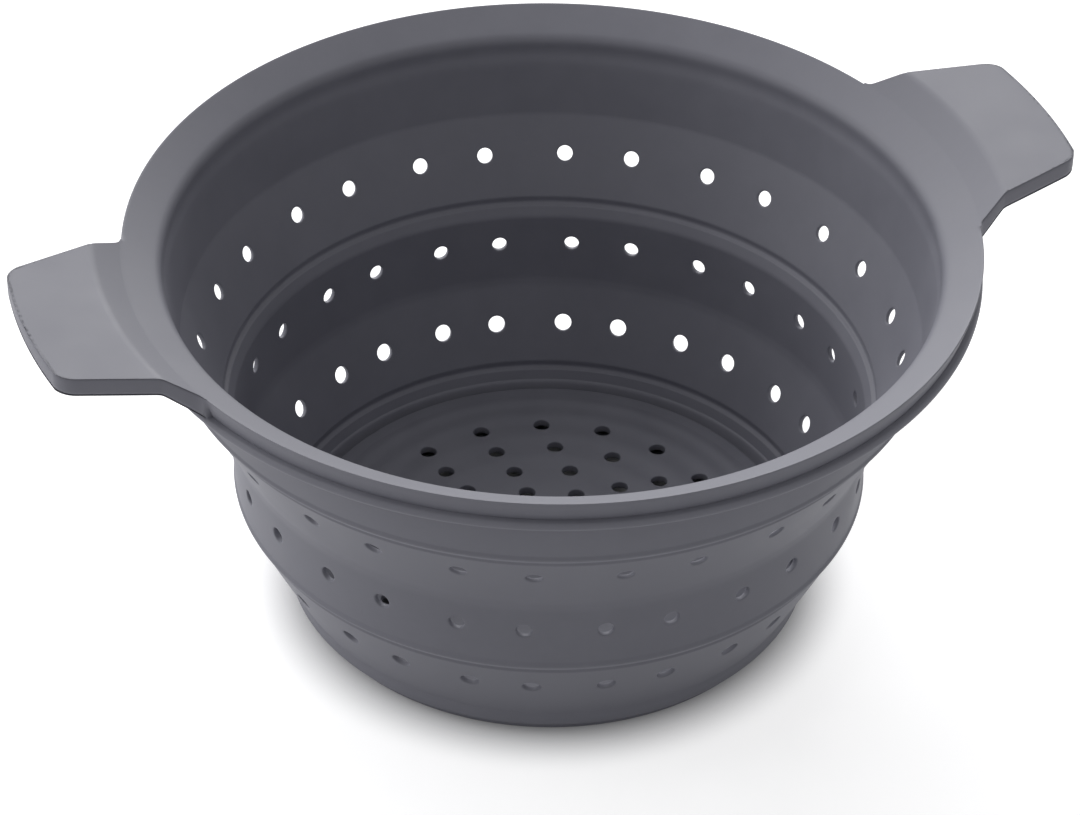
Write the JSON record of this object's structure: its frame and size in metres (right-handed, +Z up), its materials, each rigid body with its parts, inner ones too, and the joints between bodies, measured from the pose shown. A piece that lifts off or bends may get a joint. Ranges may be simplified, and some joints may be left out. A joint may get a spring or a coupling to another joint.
{
  "type": "steamer insert",
  "caption": "Collapsible silicone steamer insert: perforated bowl wall with two folding cones, ribbed floor, funnel rim that hangs on a pot, and raised grip handles.",
  "frame": {"origin": "centre of the foot's resting plane, on the bowl's axis", "axes": "+Z up along the bowl's axis, +X towards the right handle"},
  "size_m": [0.3286, 0.26, 0.137],
  "materials": {
    "silicone_rim": "satin-matt grey silicone",
    "silicone_wall": "satin-matt grey silicone, in the bowl's own shade"
  },
  "bodies": {
    "base_body": {"foot_ring": "silicone_wall", "base_floor": "silicone_wall", "base_corner": "silicone_wall", "lower_inner_hinge": "silicone_wall", "lower_fold_cone": "silicone_wall"},
    "middle_body": {"lower_outer_hinge": "silicone_wall", "middle_band": "silicone_wall", "upper_inner_hinge": "silicone_wall", "upper_fold_cone": "silicone_wall"},
    "rim_body": {"upper_outer_hinge": "silicone_wall", "collar": "silicone_wall", "rim_flange": "silicone_rim", "handle_left": "silicone_rim", "handle_right": "silicone_rim"}
  },
  "joints": [
    {"name": "lower_fold", "type": "slide", "parent": "base_body", "child": "middle_body", "axis": [0, 0, -1], "range_m": [0, 0.037], "deforming": ["lower_fold_cone"]},
    {"name": "upper_fold", "type": "slide", "parent": "middle_body", "child": "rim_body", "axis": [0, 0, -1], "range_m": [0, 0.055], "deforming": ["upper_fold_cone"]}
  ]
}
